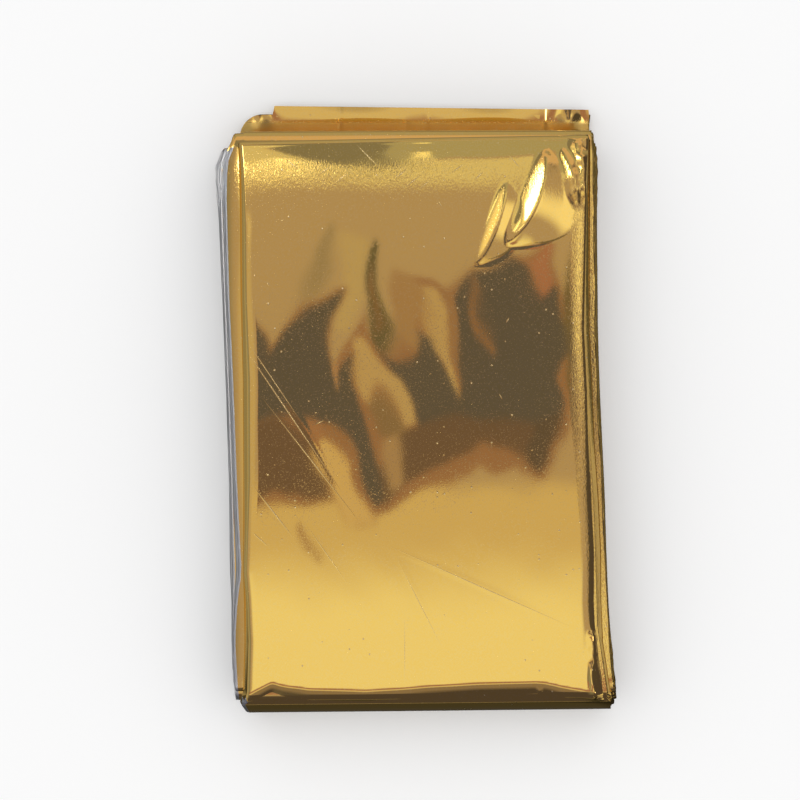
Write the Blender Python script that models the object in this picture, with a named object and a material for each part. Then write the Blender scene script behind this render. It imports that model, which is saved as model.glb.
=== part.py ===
"""Emergency foil blanket, folded flat to pocket size: one sheet laid back and forth in twelve layers.

The pack lies on its back. +X runs across it, +Y along it to its open end, and +Z up.
The blanket is first folded lengthwise into a strip, so each layer here is a bundle of thin film plies.
The strip starts as a flap at the open end, runs along the back, wraps round the closed end, comes
back as the front panel, and then goes up and down inside the wrap.
"""

import math
from collections import namedtuple

import bmesh
import bpy
from mathutils import Vector
from mathutils.geometry import intersect_point_line

MM = 0.001

# The layers: the pack is thickest in its middle, and its rim is pressed together
LAYERS = 12
LAYER_THICKNESS = 1.0 * MM
PITCH_MIDDLE = 1.45 * MM
PITCH_DROP_SIDES = 0.08 * MM
PITCH_DROP_ENDS = 0.11 * MM
PITCH_DROP_OPEN_EDGE = 0.07 * MM

# How far from the middle of the pack those drops are reached, and how suddenly the last one comes
HALF_WIDTH = 42.0 * MM
HALF_LENGTH = 60.0 * MM
POWER_OPEN_EDGE = 12

# The wrap round the closed end, a half superellipse between the back layer and the front panel
WRAP_DEPTH = 6.0 * MM
WRAP_POWER = 0.8

# The flap at the open end: its film steps out past the bundle, whose left corner is round
FLAP_ROOT = 56.0 * MM
FLAP_RISE = 1.5 * MM
FLAP_RISE_POWER = 1.4
BUNDLE_END = 63.1 * MM
BUNDLE_CORNER = 5.0 * MM
FILM_LEFT_EDGE = -30.4 * MM
FILM_END_LEFT = 65.0 * MM
FILM_END_FALL = 0.012

# The fold lines in plan, in millimetres, in the order in which the strip meets them.
# Rows named foot are at the closed end, and rows named top at the open end.
Fold = namedtuple("Fold", "name x_left y_left x_right y_right")
FLAP_END = Fold("flap end", -37.8, 65.0, 37.2, 65.0)
BACK_FOOT = Fold("back foot", -37.6, -58.5, 42.0, -58.5)
FRONT_FOOT = Fold("front foot", -37.2, -58.5, 42.5, -58.5)
INNER_FOLDS = (
    Fold("top 1", -37.4, 55.2, 38.6, 56.7),
    Fold("foot 2", -37.9, -58.9, 41.6, -59.2),
    Fold("top 3", -38.8, 56.5, 38.0, 56.9),
    Fold("foot 4", -38.0, -60.6, 41.8, -60.2),
    Fold("top 5", -40.5, 54.6, 37.6, 56.2),
    Fold("foot 6", -38.6, -61.2, 41.2, -61.0),
    Fold("top 7", -41.7, 54.2, 38.6, 55.6),
    Fold("foot 8", -38.2, -60.4, 42.0, -60.7),
    Fold("top 9", -41.0, 55.0, 38.0, 56.4),
    Fold("foot 10", -38.8, -59.3, 41.6, -58.9),
    Fold("inner end", -40.2, 53.4, 37.4, 55.0),
)

# The main creases of the front panel, in millimetres: soft ridges, each along its own line in plan
Crease = namedtuple("Crease", "name x_start y_start x_end y_end height half_width")
FRONT_CREASES = (
    Crease("upper right ridge", 34.0, 42.0, 12.5, 30.5, 0.30, 7.0),
    Crease("upper right pucker", 26.5, 49.5, 20.0, 36.0, 0.35, 6.0),
    Crease("upper middle furrow", -10.0, 37.0, -6.5, 12.0, 0.20, 6.0),
    Crease("left diagonal", -31.5, 10.0, -15.5, -17.5, 0.25, 6.0),
    Crease("lower diagonal", -4.0, -30.0, 33.0, -46.5, 0.25, 6.0),
    Crease("steep lower crease", -5.0, -29.0, 6.0, -50.5, 0.20, 6.0),
)

# Where the mesh has its points: across the strip, along a layer, and round a fold.
# The columns near the left end follow the flap's round corner and the step in its end.
ACROSS = (0.0, 0.012, 0.032, 0.058, 0.094, 0.100, 0.20, 0.30, 0.40, 0.50, 0.60, 0.70, 0.80, 0.90, 0.97, 1.0)
ALONG = (0.0, 0.32, 0.66, 0.88, 0.96, 1.0)
ALONG_FRONT = (0.0, 0.08, 0.16, 0.24, 0.32, 0.40, 0.49, 0.58, 0.66, 0.74, 0.82, 0.88, 0.96, 1.0)
ALONG_FLAP = (0.2, 0.45, 0.72, 1.0)
FOLD_STEPS = 6
WRAP_STEPS = 14

FOIL_GOLD = (0.80, 0.57, 0.20, 1.0)
FOIL_ROUGHNESS = 0.16


def clear_scene():
    for obj in list(bpy.data.objects):
        bpy.data.objects.remove(obj)


def mixed(first, second, share):
    return first + (second - first) * share


def pitch(x, y):
    """From one layer to the next at a place in plan."""
    sides = PITCH_DROP_SIDES * (x / HALF_WIDTH) ** 2
    ends = PITCH_DROP_ENDS * (y / HALF_LENGTH) ** 2
    open_edge = PITCH_DROP_OPEN_EDGE * max(0.0, y / HALF_LENGTH) ** POWER_OPEN_EDGE
    return PITCH_MIDDLE - sides - ends - open_edge


def crease_height(x, y):
    """How far the creases lift the front panel at a place in plan."""
    height = 0.0
    place = Vector((x, y))
    for crease in FRONT_CREASES:
        start = Vector((crease.x_start, crease.y_start)) * MM
        end = Vector((crease.x_end, crease.y_end)) * MM
        nearest, share = intersect_point_line(place, start, end)
        nearest = start.lerp(end, min(1.0, max(0.0, share)))
        away = (place - nearest).length / (crease.half_width * MM)
        height = max(height, crease.height * MM * max(0.0, 1 - away**2) ** 2)
    return height


def level(layer, x, y):
    """Height of the middle of a layer: layer 1 is the front panel, and the last lies on the ground."""
    height = LAYER_THICKNESS / 2 + (LAYERS - layer) * pitch(x, y)
    return height + crease_height(x, y) if layer == 1 else height


def on_fold(fold, share):
    """A point of a fold line in plan, that share of the way from its left end to its right end."""
    x = mixed(fold.x_left, fold.x_right, share) * MM
    y = mixed(fold.y_left, fold.y_right, share) * MM
    return x, y


def layer_row(layer, start, end, along):
    """One row of points across a layer, between its two fold lines."""
    row = []
    for share in ACROSS:
        x_start, y_start = on_fold(start, share)
        x_end, y_end = on_fold(end, share)
        x = mixed(x_start, x_end, along)
        y = mixed(y_start, y_end, along)
        row.append((x, y, level(layer, x, y)))
    return row


def bent_row(layer, fold, angle, outwards):
    """One row of a fold between a layer and the next one down, at an angle from its start."""
    row = []
    for share in ACROSS:
        x, y = on_fold(fold, share)
        radius = pitch(x, y) / 2
        middle = (level(layer, x, y) + level(layer + 1, x, y)) / 2
        reach = outwards * radius * math.sin(angle)
        row.append((x, y + reach, middle + radius * math.cos(angle)))
    return row


def wrap_row(share_up):
    """One row of the wrap round the closed end, from the back layer (0) to the front panel (1)."""
    angle = math.pi * (share_up - 0.5)
    out = math.cos(angle) ** WRAP_POWER
    up = math.copysign(abs(math.sin(angle)) ** WRAP_POWER, angle)
    row = []
    for share in ACROSS:
        x_back, y = on_fold(BACK_FOOT, share)
        x_front, y = on_fold(FRONT_FOOT, share)
        x = mixed(x_back, x_front, share_up)
        top, bottom = level(1, x, y), level(LAYERS, x, y)
        z = (top + bottom) / 2 + up * (top - bottom) / 2
        row.append((x, y - WRAP_DEPTH * out, z))
    return row


def flap_end_y(x):
    """How far the flap reaches at x: the film's cut edge, or the bundle with its round corner."""
    if x > FILM_LEFT_EDGE:
        return FILM_END_LEFT - (x - FILM_LEFT_EDGE) * FILM_END_FALL
    into_corner = FLAP_END.x_left * MM + BUNDLE_CORNER - x
    if into_corner <= 0:
        return BUNDLE_END
    return BUNDLE_END - BUNDLE_CORNER + math.sqrt(max(0.0, BUNDLE_CORNER**2 - into_corner**2))


def flap_row(out):
    """One row of the flap, from its root (0) to its end (1). It rises off the ground as it goes."""
    row = []
    for share in ACROSS:
        x = on_fold(FLAP_END, share)[0]
        end = flap_end_y(x)
        y = mixed(FLAP_ROOT, end, out)
        rise = FLAP_RISE * ((y - FLAP_ROOT) / (FILM_END_LEFT - FLAP_ROOT)) ** FLAP_RISE_POWER
        row.append((x, y, LAYER_THICKNESS / 2 + rise))
    return row


def middle_surface():
    """The rows of points down the middle of the sheet, from the flap's end to the inner end."""
    rows = [flap_row(out) for out in reversed(ALONG_FLAP)]
    flap_root = FLAP_END._replace(y_left=FLAP_ROOT / MM, y_right=FLAP_ROOT / MM)
    rows += [layer_row(LAYERS, BACK_FOOT, flap_root, along) for along in reversed(ALONG)]
    rows += [wrap_row(step / WRAP_STEPS) for step in range(1, WRAP_STEPS)]
    start = FRONT_FOOT
    for layer, end in enumerate(INNER_FOLDS, start=1):
        going_up = layer % 2 == 1
        if going_up:
            stops = ALONG_FRONT if layer == 1 else ALONG
            rows += [layer_row(layer, start, end, along) for along in stops]
        else:
            rows += [layer_row(layer, end, start, along) for along in reversed(ALONG)]
        if end is not INNER_FOLDS[-1]:
            outwards = 1 if going_up else -1
            angles = [math.pi * step / FOLD_STEPS for step in range(1, FOLD_STEPS)]
            rows += [bent_row(layer, end, angle, outwards) for angle in angles]
        start = end
    return rows


def foil_material():
    material = bpy.data.materials.new("gold foil")
    material.use_nodes = True
    shader = material.node_tree.nodes["Principled BSDF"]
    shader.inputs["Base Color"].default_value = FOIL_GOLD
    shader.inputs["Metallic"].default_value = 1.0
    shader.inputs["Roughness"].default_value = FOIL_ROUGHNESS
    return material


def sheet_from(rows, name):
    """An object whose mesh is a grid through the rows, made as thick as a layer by a Solidify."""
    work = bmesh.new()
    grid = [[work.verts.new(point) for point in row] for row in rows]
    for near, far in zip(grid, grid[1:]):
        for column in range(len(near) - 1):
            corners = (near[column], near[column + 1], far[column + 1], far[column])
            work.faces.new(corners)
    mesh = bpy.data.meshes.new(name)
    work.to_mesh(mesh)
    work.free()
    obj = bpy.data.objects.new(name, mesh)
    bpy.context.scene.collection.objects.link(obj)
    thicken = obj.modifiers.new("thickness", "SOLIDIFY")
    thicken.thickness = LAYER_THICKNESS
    thicken.offset = 0.0
    thicken.use_even_offset = True
    return obj


def centre_on_origin(obj):
    """Moves the mesh so that the origin is under the middle of the finished solid, on the ground."""
    bpy.context.view_layer.update()
    corners = obj.evaluated_get(bpy.context.evaluated_depsgraph_get()).bound_box
    low = [min(corner[axis] for corner in corners) for axis in range(3)]
    high = [max(corner[axis] for corner in corners) for axis in range(3)]
    for vertex in obj.data.vertices:
        vertex.co.x -= (low[0] + high[0]) / 2
        vertex.co.y -= (low[1] + high[1]) / 2
        vertex.co.z -= low[2]


def main():
    clear_scene()
    blanket = sheet_from(middle_surface(), "foil_blanket")
    centre_on_origin(blanket)
    blanket.data.materials.append(foil_material())
    blanket.data.shade_smooth()
    blanket.data.set_sharp_from_angle(angle=math.radians(40))


main()
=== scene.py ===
"""Emergency foil blanket, folded flat to pocket size: how it looks.

The blanket is one sheet of gold film with a silver back. It is first folded lengthwise, to and fro,
into a strip of 26 plies, and the strip is then folded crosswise into twelve layers: it starts as a
flap at the open end, runs along the back, wraps round the closed end, comes back as the front
panel, and goes up and down inside the wrap. The meshes below follow every ply of that, split into
four sheets along fold lines so that the plies that show can be finer.

Lengths are in millimetres, with X across the pack, Y along it to its open end, and Z up.
"""

import math
from collections import namedtuple

import bpy
import numpy as np
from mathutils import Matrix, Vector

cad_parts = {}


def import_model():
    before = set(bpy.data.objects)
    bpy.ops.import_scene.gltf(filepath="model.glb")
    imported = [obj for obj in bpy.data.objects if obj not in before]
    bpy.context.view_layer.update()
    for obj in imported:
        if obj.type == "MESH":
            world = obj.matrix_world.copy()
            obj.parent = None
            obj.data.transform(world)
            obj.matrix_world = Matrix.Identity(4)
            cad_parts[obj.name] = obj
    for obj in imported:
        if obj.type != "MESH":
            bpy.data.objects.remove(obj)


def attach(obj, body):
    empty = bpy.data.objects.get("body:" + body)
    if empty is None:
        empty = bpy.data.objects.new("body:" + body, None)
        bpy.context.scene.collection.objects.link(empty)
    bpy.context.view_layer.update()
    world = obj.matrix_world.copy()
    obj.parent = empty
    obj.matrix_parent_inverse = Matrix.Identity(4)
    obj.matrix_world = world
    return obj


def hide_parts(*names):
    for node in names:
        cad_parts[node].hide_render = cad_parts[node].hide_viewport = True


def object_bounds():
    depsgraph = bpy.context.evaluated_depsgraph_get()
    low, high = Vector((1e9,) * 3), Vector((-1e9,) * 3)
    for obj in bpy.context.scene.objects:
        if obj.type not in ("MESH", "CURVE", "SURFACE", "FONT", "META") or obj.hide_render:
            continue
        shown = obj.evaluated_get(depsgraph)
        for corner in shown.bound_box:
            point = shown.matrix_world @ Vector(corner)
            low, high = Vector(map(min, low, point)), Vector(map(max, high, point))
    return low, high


MM = 0.001
SEED = 7

# The solid's box is centred over the origin, and the fold lines below are not
SHIFT = np.array([-0.4, 0.0, 0.0])

# The camera looks straight down, and its frame is this wide at the pack's middle height
CAMERA_HEIGHT = 750.0
FRAME_WIDTH = 170.5
FRAME_CENTRE = (-3.7, 1.7)

# The strip's layers, as in the solid
LAYERS = 12
LAYER_THICKNESS = 1.0
PITCH_MIDDLE = 1.45
PITCH_DROP_SIDES = 0.08
PITCH_DROP_ENDS = 0.11
PITCH_DROP_OPEN_EDGE = 0.07
HALF_WIDTH = 42.0
HALF_LENGTH = 60.0
POWER_OPEN_EDGE = 12

# The wrap round the closed end
WRAP_DEPTH = 4.2
WRAP_POWER_OUT = 1.2
WRAP_POWER_UP = 0.8

# The flap at the open end
FLAP_ROOT = 56.0
FLAP_RISE = 1.5
FLAP_RISE_POWER = 1.4
FLAP_LEFT = -37.8
FLAP_RIGHT = 37.2
BUNDLE_END = 63.1
BUNDLE_CORNER = 5.0
FILM_LEFT_EDGE = -30.4
FILM_END_LEFT = 65.0
FILM_END_FALL = 0.012

# Where the strip turns back, at its left and right sides, in the order in which it meets the folds
Fold = namedtuple("Fold", "name y_left y_right")
BACK_TOP = Fold("flap root", FLAP_ROOT, FLAP_ROOT)
FOOT = Fold("wrap", -60.6, -59.8)
INNER_FOLDS = (
    Fold("top 1", 55.2, 56.7),
    Fold("foot 2", -58.9, -59.2),
    Fold("top 3", 57.6, 57.9),
    Fold("foot 4", -60.6, -60.2),
    Fold("top 5", 54.6, 56.2),
    Fold("foot 6", -61.2, -61.0),
    Fold("top 7", 54.2, 55.6),
    Fold("foot 8", -60.4, -60.7),
    Fold("top 9", 55.0, 56.4),
    Fold("foot 10", -59.3, -58.9),
    Fold("inner end", 53.4, 55.0),
)
FOLD_LEFT = -38.0
FOLD_RIGHT = 40.0

# The long sides in plan, from the foot to the open end: the front panel's crease, the rim that its
# film drops to, the edge of the gold ply below, and the outermost loops
Side = namedtuple("Side", "y crease rim ledge loops")
LEFT_SIDE = (
    Side(-64.8, -35.9, -36.5, -36.7, -36.8),
    Side(-62.8, -35.7, -37.2, -37.6, -37.8),
    Side(-60.1, -35.4, -36.5, -37.9, -38.3),
    Side(-49.4, -35.1, -36.2, -38.5, -39.1),
    Side(-40.9, -35.5, -36.3, -38.0, -39.2),
    Side(-34.7, -36.0, -36.5, -37.1, -39.5),
    Side(-15.3, -35.3, -36.4, -38.1, -39.7),
    Side(6.0, -35.3, -36.5, -38.9, -40.4),
    Side(23.0, -36.0, -37.0, -39.7, -41.1),
    Side(44.3, -36.3, -37.2, -40.3, -42.1),
    Side(51.8, -36.7, -37.4, -40.2, -42.4),
    Side(56.5, -37.1, -37.6, -38.3, -40.4),
    Side(58.6, -37.2, -37.6, -37.9, -38.2),
)
RIGHT_SIDE = (
    Side(-64.8, 39.7, 42.2, 42.4, 42.5),
    Side(-62.8, 39.2, 42.2, 42.5, 42.6),
    Side(-60.1, 38.5, 41.4, 42.1, 42.4),
    Side(-49.4, 37.4, 39.7, 41.1, 41.6),
    Side(-40.9, 36.9, 39.3, 40.7, 41.0),
    Side(-30.3, 37.0, 39.2, 40.0, 40.6),
    Side(-19.6, 36.5, 38.7, 39.6, 40.3),
    Side(-6.8, 36.2, 37.8, 38.9, 39.7),
    Side(3.8, 36.0, 37.4, 38.3, 39.2),
    Side(16.6, 35.4, 36.8, 38.0, 38.8),
    Side(44.3, 36.1, 36.9, 37.7, 38.6),
    Side(55.0, 36.4, 37.0, 37.7, 38.5),
    Side(58.6, 36.4, 36.9, 37.2, 37.4),
)

# How the sides go down: the depths below the front at which the ledge and the loops lie
LEDGE_DEPTH = 2.2
LOOPS_DEPTH = 8.0
RIM_DROP = 1.25
RIM_POWER = 1.25
RIM_TUCK = 0.25
EDGE_ROLL = 2.0
EDGE_ROLL_DROP = 0.10
UNROLLED_FROM = 38.0
LEDGE_TILT = 0.16

# The plies of the strip, and how they meet in loops at its long sides
PLIES = 26
PLY_WIDTH = 79.0
LOOP_REACH = 0.07
COVER_CLEARANCE = 0.35
HIDDEN_INSET = 1.2
BACK_INSET = 0.6
FLAP_EDGE_INSET = 0.4
BACK_SHOULDER = 0.4
NEVER_REACHED = 200.0
GOLD_INSET = 2.0
JITTER_MIDDLE = 0.06
JITTER_ENDS = 0.32
CRUMPLED_FROM_OPEN_END = 40.0
CRUMPLED_FROM_CLOSED_END = -46.0

# Where the front panel's film turns over the closed end: a crisp, wandering line, below which it
# falls away, more and more
FootPoint = namedtuple("FootPoint", "x y")
FOOT_LINE = (
    FootPoint(-36.5, -61.0),
    FootPoint(-35.0, -60.4),
    FootPoint(-30.4, -58.0),
    FootPoint(-28.0, -58.7),
    FootPoint(-22.5, -59.4),
    FootPoint(-10.5, -59.7),
    FootPoint(-3.3, -59.3),
    FootPoint(2.7, -58.8),
    FootPoint(13.3, -58.2),
    FootPoint(25.5, -57.9),
    FootPoint(27.6, -58.1),
    FootPoint(31.4, -59.0),
    FootPoint(39.1, -60.3),
)
FOOT_SLOPE = 0.14
FOOT_CURVE = 0.05
FOOT_REACH = 4.0

# The front panel's folds and creases: ridges with tapering ends, each with a height, a width to
# either side of its line, a sideways bow, and how crisp it is (0 a soft swell, 1 two flat facets)
Crease = namedtuple("Crease", "name x_start y_start x_end y_end height left right bow crisp")
FRONT_CREASES = (
    Crease("white crescent", 27.6, 54.6, 19.4, 34.4, 0.54, 9.0, 4.3, 2.6, 0.9),
    Crease("yellow streak", 19.3, 47.5, 13.0, 30.3, 0.30, 5.5, 3.0, 1.2, 0.9),
    Crease("corner pucker", 35.3, 55.4, 36.0, 42.0, 0.24, 1.0, 1.6, 0.0, 0.9),
    Crease("beside the pucker", 31.0, 55.0, 34.4, 43.0, 0.30, 1.8, 2.6, 0.4, 0.8),
    Crease("left diagonal", -36.0, 13.0, -16.0, -17.5, 0.010, 0.7, 0.7, 1.2, 0.9),
    Crease("long diagonal", -7.5, -29.0, 35.0, -48.0, 0.006, 1.0, 0.8, 0.8, 0.9),
    Crease("steep crease", -5.0, -30.0, 6.3, -52.7, 0.005, 0.8, 0.8, 0.5, 0.9),
    Crease("wrap cross left", -1.0, -60.8, 8.0, -68.5, 0.14, 0.5, 0.9, 0.4, 0.9),
    Crease("wrap cross right", 26.0, -58.8, 32.0, -68.5, 0.22, 0.6, 1.2, -0.8, 0.9),
    Crease("wrap second cross", 26.5, -60.8, 36.0, -66.5, 0.16, 0.5, 0.9, -0.5, 0.9),
    Crease("foot curl", 36.6, -47.5, 40.2, -50.6, 0.30, 0.7, 0.7, 0.4, 0.8),
    Crease("second foot curl", 37.2, -53.5, 38.6, -61.5, 0.35, 0.7, 0.8, -0.7, 0.8),
    Crease("third foot curl", 39.2, -50.5, 40.2, -60.5, 0.30, 0.6, 0.7, 0.5, 0.8),
    Crease("corner lump", 38.5, -61.5, 42.5, -63.5, 0.40, 1.0, 1.0, 0.4, 0.7),
)

CREASE_TAPER = 0.6
FACET_POWER = 1.35

# Broad swells of the front panel, each as wide as its two reaches
Swell = namedtuple("Swell", "name x y reach_x reach_y height")
FRONT_SWELLS = (
    Swell("upper left", -18.0, 52.0, 12.0, 4.0, 0.02),
)

# Shallow uneven waves of the front panel: how long and how high
WAVE_COUNT = 26
WAVE_SHORTEST = 9.0
WAVE_LONGEST = 34.0
WAVE_SLOPE = 0.0004

# The crumple of the corners: how many folds run through each place, their spacing and steepness
CRUMPLE_COUNT = 4
CRUMPLE_SHORTEST = 1.8
CRUMPLE_LONGEST = 4.5
CRUMPLE_SLOPE = 0.022

# The flap's creases, each straight across the flap at one place
FlapCrease = namedtuple("FlapCrease", "name x height half_width lean")
FLAP_CREASES = (
    FlapCrease("left crease", -16.4, 0.14, 0.7, 0.02),
    FlapCrease("middle crease", -1.9, 0.10, 0.7, -0.02),
    FlapCrease("right of middle", 2.2, 0.12, 0.6, 0.03),
    FlapCrease("far right", 27.4, 0.16, 0.8, 0.03),
)

# How the flap's film swells and sinks between its creases
FLAP_SWELLS = (
    Swell("round corner", -34.2, 59.6, 4.0, 4.6, 0.9),
    Swell("left of middle", -12.0, 67.0, 12.0, 7.0, 0.09),
    Swell("middle sink", 1.0, 67.0, 7.0, 7.0, -0.06),
    Swell("right of middle", 16.5, 67.0, 12.0, 7.0, 0.10),
    Swell("right sink", 27.0, 67.0, 6.0, 7.0, -0.10),
    Swell("right end", 33.0, 61.0, 3.5, 4.0, 0.7),
)

# How finely each sheet is divided
FLAP_COLUMNS = 180
FRONT_STEP = 0.5
SHOULDER_STOPS = (0.0, 0.12, 0.25, 0.4, 0.55, 0.7, 0.82, 0.92)
COARSE_STOPS = (0.0, 0.004, 0.04, 0.5, 0.96, 0.996, 1.0)
ALONG_HIDDEN = (0.0, 0.12, 0.32, 0.5, 0.66, 0.80, 0.90, 0.96, 1.0)
ALONG_SIDES = tuple(np.linspace(0, 1, 41))
FLAP_STEPS = 12
BEND_STEPS = 6
WRAP_STEPS = 26
COVER_WRAP_STEPS = 72
COVER_BEND_STEPS = 12
COVER_BEND_POWER = 0.5


def mixed(first, second, share):
    return first + (second - first) * share


def smooth(share):
    """0 to 1 with level ends."""
    share = np.clip(share, 0.0, 1.0)
    return share * share * (3 - 2 * share)


def pitch(x, y):
    """From one layer to the next at a place in plan."""
    sides = PITCH_DROP_SIDES * (x / HALF_WIDTH) ** 2
    ends = PITCH_DROP_ENDS * (y / HALF_LENGTH) ** 2
    open_edge = PITCH_DROP_OPEN_EDGE * np.clip(y / HALF_LENGTH, 0, 1.1) ** POWER_OPEN_EDGE
    return PITCH_MIDDLE - sides - ends - open_edge


def level(layer, x, y):
    """Height of a layer's middle: layer 1 is the front panel, and the last lies on the ground."""
    return LAYER_THICKNESS / 2 + (LAYERS - layer) * pitch(x, y)


def points(x, y, z):
    """Coordinates side by side, as arrays of points."""
    return np.stack(np.broadcast_arrays(x, y, z), axis=-1)


def fold_y(fold, x):
    """Y of a fold line at x."""
    return mixed(fold.y_left, fold.y_right, (x - FOLD_LEFT) / (FOLD_RIGHT - FOLD_LEFT))


# A row is one line of points across the strip: which layer it is in, with a part for bends, and
# its points at any x
Row = namedtuple("Row", "layer place")


def layer_rows(layer, start, end, stops):
    """The rows of one layer, from one fold to the next."""
    def place(along, x):
        y = mixed(fold_y(start, x), fold_y(end, x), along)
        return points(x, y, level(layer, x, y))

    return [Row(layer, lambda x, along=along: place(along, x)) for along in stops]


def bend_rows(layer, fold, outwards, steps=BEND_STEPS, power=1.0):
    """The rows of a fold between a layer and the next one down, squarer at a power below 1."""
    def place(angle, x):
        y = fold_y(fold, x)
        radius = pitch(x, y) / 2
        middle = (level(layer, x, y) + level(layer + 1, x, y)) / 2
        out = math.sin(angle) ** power
        up = math.copysign(abs(math.cos(angle)) ** power, math.cos(angle))
        return points(x, y + outwards * radius * out, middle + radius * up)

    turns = [step / steps for step in range(1, steps)]
    return [Row(layer + turn, lambda x, turn=turn: place(math.pi * turn, x)) for turn in turns]


def wrap_rows(steps):
    """The rows round the closed end, from the back layer up to the front panel."""
    def place(share_up, x):
        angle = math.pi * (share_up - 0.5)
        out = math.cos(angle) ** WRAP_POWER_OUT
        up = math.copysign(abs(math.sin(angle)) ** WRAP_POWER_UP, angle)
        y = fold_y(FOOT, x)
        top, bottom = level(1, x, y), level(LAYERS, x, y)
        return points(x, y - WRAP_DEPTH * out, (top + bottom) / 2 + up * (top - bottom) / 2)

    shares = [step / steps for step in range(1, steps)]
    return [Row(mixed(LAYERS, 1, up), lambda x, up=up: place(up, x)) for up in shares]


def bundle_end(x):
    """How far the flap's plies reach at x, with the bundle's round left corner."""
    into_corner = np.clip(FLAP_LEFT + BUNDLE_CORNER - x, 0, BUNDLE_CORNER)
    return BUNDLE_END - BUNDLE_CORNER + np.sqrt(BUNDLE_CORNER**2 - into_corner**2)


def film_end(x):
    """How far the flap's last ply reaches at x: its cut end, or the bundle's round corner."""
    film = FILM_END_LEFT - (x - FILM_LEFT_EDGE) * FILM_END_FALL
    return np.where(x > FILM_LEFT_EDGE, film, bundle_end(x) + 0.05)


def flap_rows(end_at):
    """The rows of the flap, from its end down to its root."""
    def place(out, x):
        y = mixed(FLAP_ROOT, end_at(x), out)
        rise = FLAP_RISE * ((y - FLAP_ROOT) / (FILM_END_LEFT - FLAP_ROOT)) ** FLAP_RISE_POWER
        return points(x, y, LAYER_THICKNESS / 2 + rise)

    outs = [1 - step / FLAP_STEPS for step in range(FLAP_STEPS)]
    return [Row(LAYERS, lambda x, out=out: place(out, x)) for out in outs]


def outer_rows(end_at, wrap_steps, along_front):
    """The strip from the flap's end, along the back and round the wrap, to behind the front panel."""
    rows = flap_rows(end_at)
    rows += layer_rows(LAYERS, BACK_TOP, FOOT, ALONG_HIDDEN)
    rows += wrap_rows(wrap_steps)
    rows += layer_rows(1, FOOT, INNER_FOLDS[0], along_front)
    rows += bend_rows(1, INNER_FOLDS[0], 1, COVER_BEND_STEPS, COVER_BEND_POWER)
    return rows


def inner_rows():
    """The strip from behind the front panel to its inner end, to and fro inside the wrap."""
    rows = []
    for layer in range(2, LAYERS):
        start, end = INNER_FOLDS[layer - 2], INNER_FOLDS[layer - 1]
        rows += layer_rows(layer, start, end, ALONG_SIDES)
        if layer < LAYERS - 1:
            rows += bend_rows(layer, end, 1 if layer % 2 == 1 else -1)
    return rows


def side_line(side, name, y):
    """X of one of the lines of a long side at y."""
    return np.interp(y, [row.y for row in side], [getattr(row, name) for row in side])


def side_at_depth(side, y, depth):
    """X of a long side at y and at a depth below the front: the rim, the ledge, then the loops."""
    rim, ledge, loops = (side_line(side, name, y) for name in ("rim", "ledge", "loops"))
    below_ledge = smooth((depth - LEDGE_DEPTH) / (LOOPS_DEPTH - LEDGE_DEPTH))
    return np.where(depth < LAYER_THICKNESS * 1.1, rim, mixed(ledge, loops, below_ledge))


# A column is one line of points along the strip: its share of the way across, how far it stands
# out from the bundle's middle, how far it is pushed outwards, and its ply
Column = namedtuple("Column", "share offset push ply")


def ply_offset(ply):
    """The first ply is outermost and free of the others, which lie close together."""
    if ply == 1:
        return LAYER_THICKNESS / 2
    return mixed(LAYER_THICKNESS / 2 - COVER_CLEARANCE, -LAYER_THICKNESS / 2, (ply - 2) / (PLIES - 2))


def ply_columns(first, last, stops):
    """The columns of some plies, to and fro, with the loops between them at the long sides."""
    columns = []
    for ply in range(first, last + 1):
        rightwards = ply % 2 == 1
        shares = stops if rightwards else stops[::-1]
        columns += [Column(share, ply_offset(ply), 0.0, ply) for share in shares]
        if ply < last:
            middle = (ply_offset(ply) + ply_offset(ply + 1)) / 2
            columns.append(Column(1.0 if rightwards else 0.0, middle, LOOP_REACH, ply))
    return columns


def outward_normals(middle):
    """Unit vectors square to the strip, to the side that shows on the front panel."""
    steps = np.diff(middle, axis=0)
    steps /= np.linalg.norm(steps, axis=-1, keepdims=True)
    along = np.concatenate([steps[:1], steps]) + np.concatenate([steps, steps[-1:]])
    normals = points(np.zeros(along.shape[:2]), -along[..., 2], along[..., 1])
    return normals / np.linalg.norm(normals, axis=-1, keepdims=True)


def depth_below_front(x, y, z):
    """How far a place lies below the front panel's film."""
    return level(1, x, np.clip(y, FOOT.y_left, 57)) + LAYER_THICKNESS / 2 - z


def side_jitter(rows, column, y):
    """How far a loop wanders in and out along the pack, most at the crumpled corners."""
    wander = np.zeros(len(rows))
    for index, row in enumerate(rows):
        pair = column.ply // 2 * 2 + (1 if column.share > 0.5 else 0)
        random = np.random.default_rng([SEED, int(round(row.layer)), pair])
        turns = 2 * math.pi * random.uniform(0, 1, 3)
        lengths = random.uniform(5, 9, 1)[0], random.uniform(14, 22, 1)[0]
        crumpled = max(smooth((y[index] - CRUMPLED_FROM_OPEN_END) / 8),
                       smooth((CRUMPLED_FROM_CLOSED_END - y[index]) / 8))
        reach = mixed(JITTER_MIDDLE, JITTER_ENDS, crumpled)
        swing = math.sin(2 * math.pi * y[index] / lengths[0] + turns[0]) * crumpled
        swing += math.sin(2 * math.pi * y[index] / lengths[1] + turns[1])
        wander[index] = reach * (swing + random.uniform(-1, 1)) / 2
    return wander


def flap_share(row_layer, y):
    """1 on the flap, 0 on the rest of the strip, and between them over its root."""
    return smooth((y - 51) / 5) if row_layer == LAYERS else 0.0


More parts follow.
